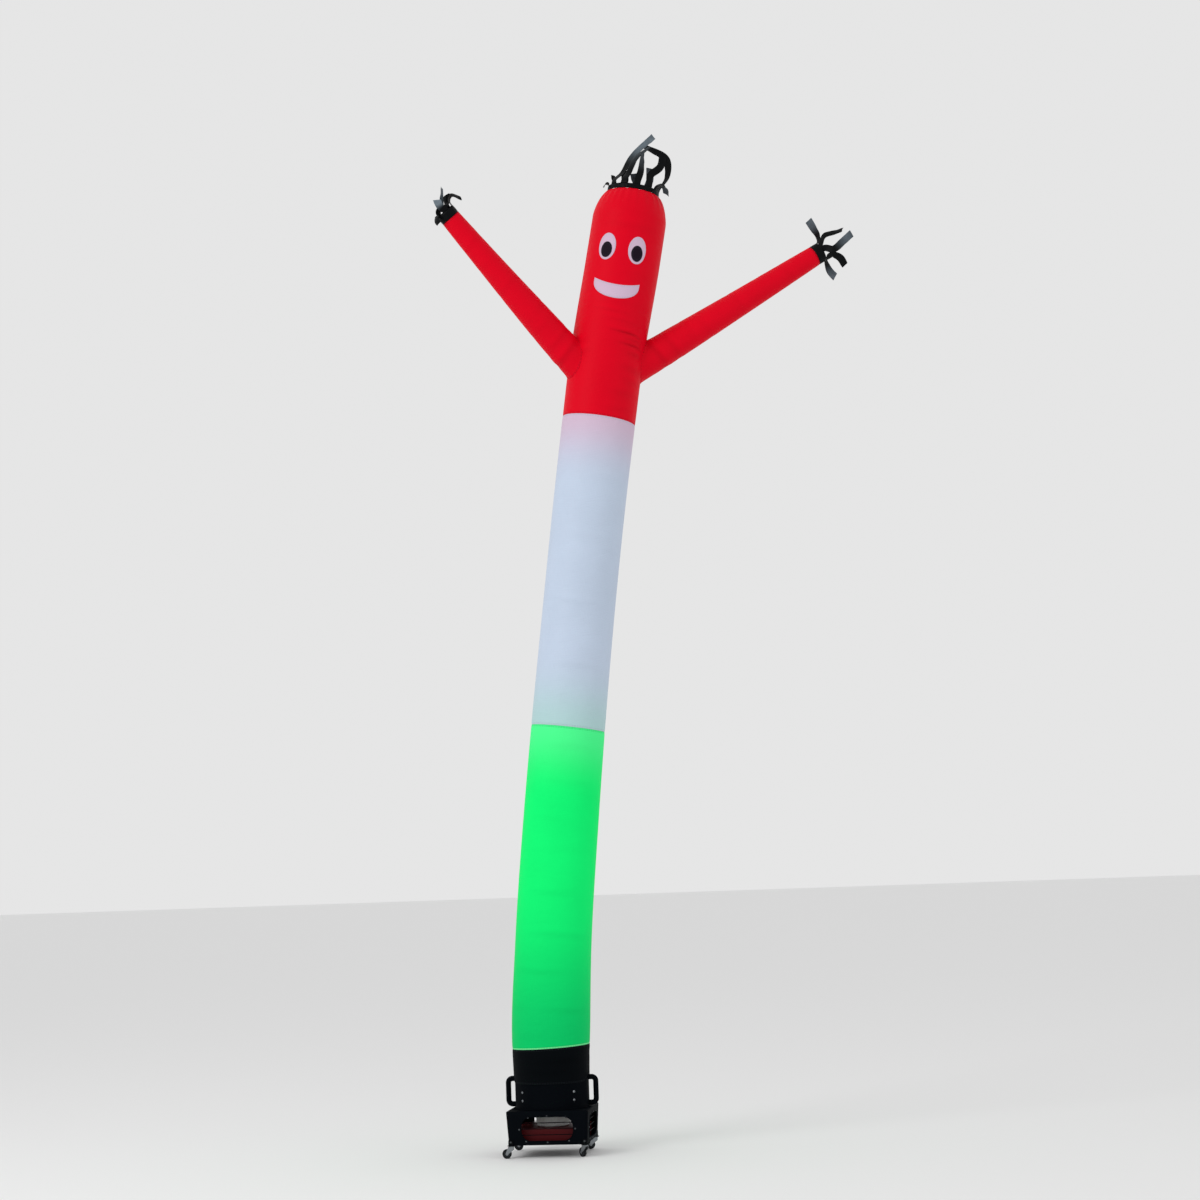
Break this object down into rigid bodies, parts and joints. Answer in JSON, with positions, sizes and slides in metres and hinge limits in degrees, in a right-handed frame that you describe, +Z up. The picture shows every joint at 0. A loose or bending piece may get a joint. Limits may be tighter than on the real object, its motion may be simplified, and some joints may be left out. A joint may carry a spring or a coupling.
{
  "type": "inflatable air dancer with blower",
  "caption": "Tall leaning cloth tube figure with raised arms, a simple face and ribbon fringes, blown up by the square wheeled blower that it stands on.",
  "frame": {"origin": "middle of the overall box at floor level, under the caster wheels", "axes": "+Z up; the face looks towards -Y; the figure leans towards +X, so the blower stands at -X"},
  "size_m": [2.4496, 1.0896, 6.0952],
  "materials": {
    "cloth_black": "satin",
    "cloth_green": "satin",
    "cloth_white": "satin",
    "cloth_red": "satin",
    "patch_white": "satin",
    "patch_black": "satin",
    "ribbon_black": "gloss",
    "housing_black": "gloss",
    "guard_black": "satin",
    "tray_red": "satin",
    "motor_grey": "satin",
    "fan_black": "matte",
    "bracket_black": "satin",
    "caster_steel": "satin",
    "wheel_grey": "matte"
  },
  "bodies": {
    "root": {"cuff_black": "cloth_black", "panel_green": "cloth_green", "panel_white": "cloth_white", "panel_red": "cloth_red", "arm_left": "cloth_red", "arm_right": "cloth_red", "eye_white_left": "patch_white", "pupil_left": "patch_black", "eye_white_right": "patch_white", "pupil_right": "patch_black", "mouth": "patch_white", "hair_streamers": "ribbon_black", "hand_streamers_left": "ribbon_black", "hand_streamers_right": "ribbon_black", "blower_base": "housing_black", "guard_front": "guard_black", "guard_right": "guard_black", "guard_back": "guard_black", "guard_left": "guard_black", "blower_drum": "housing_black", "handle_right": "housing_black", "handle_left": "housing_black", "motor_tray": "tray_red", "motor": "motor_grey", "caster_bracket_front_left": "bracket_black", "caster_bracket_front_right": "bracket_black", "caster_bracket_back_right": "bracket_black", "caster_bracket_back_left": "bracket_black"},
    "caster_front_left": {"caster_fork_front_left": "caster_steel"},
    "wheel_front_left": {"caster_wheel_front_left": "wheel_grey"},
    "caster_front_right": {"caster_fork_front_right": "caster_steel"},
    "wheel_front_right": {"caster_wheel_front_right": "wheel_grey"},
    "caster_back_right": {"caster_fork_back_right": "caster_steel"},
    "wheel_back_right": {"caster_wheel_back_right": "wheel_grey"},
    "caster_back_left": {"caster_fork_back_left": "caster_steel"},
    "wheel_back_left": {"caster_wheel_back_left": "wheel_grey"},
    "fan": {"impeller": "fan_black"}
  },
  "joints": [
    {"name": "fan_spin", "type": "hinge", "parent": "root", "child": "fan", "pos_m": [-0.7625, 0.0116, 0.347], "axis": [0, 0, 1], "continuous": true},
    {"name": "swivel_front_left", "type": "hinge", "parent": "root", "child": "caster_front_left", "pos_m": [-0.9775, -0.1924, 0.07], "axis": [0, 0, 1], "continuous": true},
    {"name": "roll_front_left", "type": "hinge", "parent": "caster_front_left", "child": "wheel_front_left", "pos_m": [-1.00523, -0.1963, 0.02708], "axis": [0.1392, -0.9903, 0], "continuous": true},
    {"name": "swivel_front_right", "type": "hinge", "parent": "root", "child": "caster_front_right", "pos_m": [-0.5475, -0.1924, 0.07], "axis": [0, 0, 1], "continuous": true},
    {"name": "roll_front_right", "type": "hinge", "parent": "caster_front_right", "child": "wheel_front_right", "pos_m": [-0.56624, -0.17159, 0.02708], "axis": [-0.7431, -0.6691, 0], "continuous": true},
    {"name": "swivel_back_right", "type": "hinge", "parent": "root", "child": "caster_back_right", "pos_m": [-0.5475, 0.2156, 0.07], "axis": [0, 0, 1], "continuous": true},
    {"name": "roll_back_right", "type": "hinge", "parent": "caster_back_right", "child": "wheel_back_right", "pos_m": [-0.57442, 0.20788, 0.02708], "axis": [0.2756, -0.9613, 0], "continuous": true},
    {"name": "swivel_back_left", "type": "hinge", "parent": "root", "child": "caster_back_left", "pos_m": [-0.9775, 0.2156, 0.07], "axis": [0, 0, 1], "continuous": true},
    {"name": "roll_back_left", "type": "hinge", "parent": "caster_back_left", "child": "wheel_back_left", "pos_m": [-1.00507, 0.21074, 0.02708], "axis": [0.1736, -0.9848, 0], "continuous": true}
  ]
}
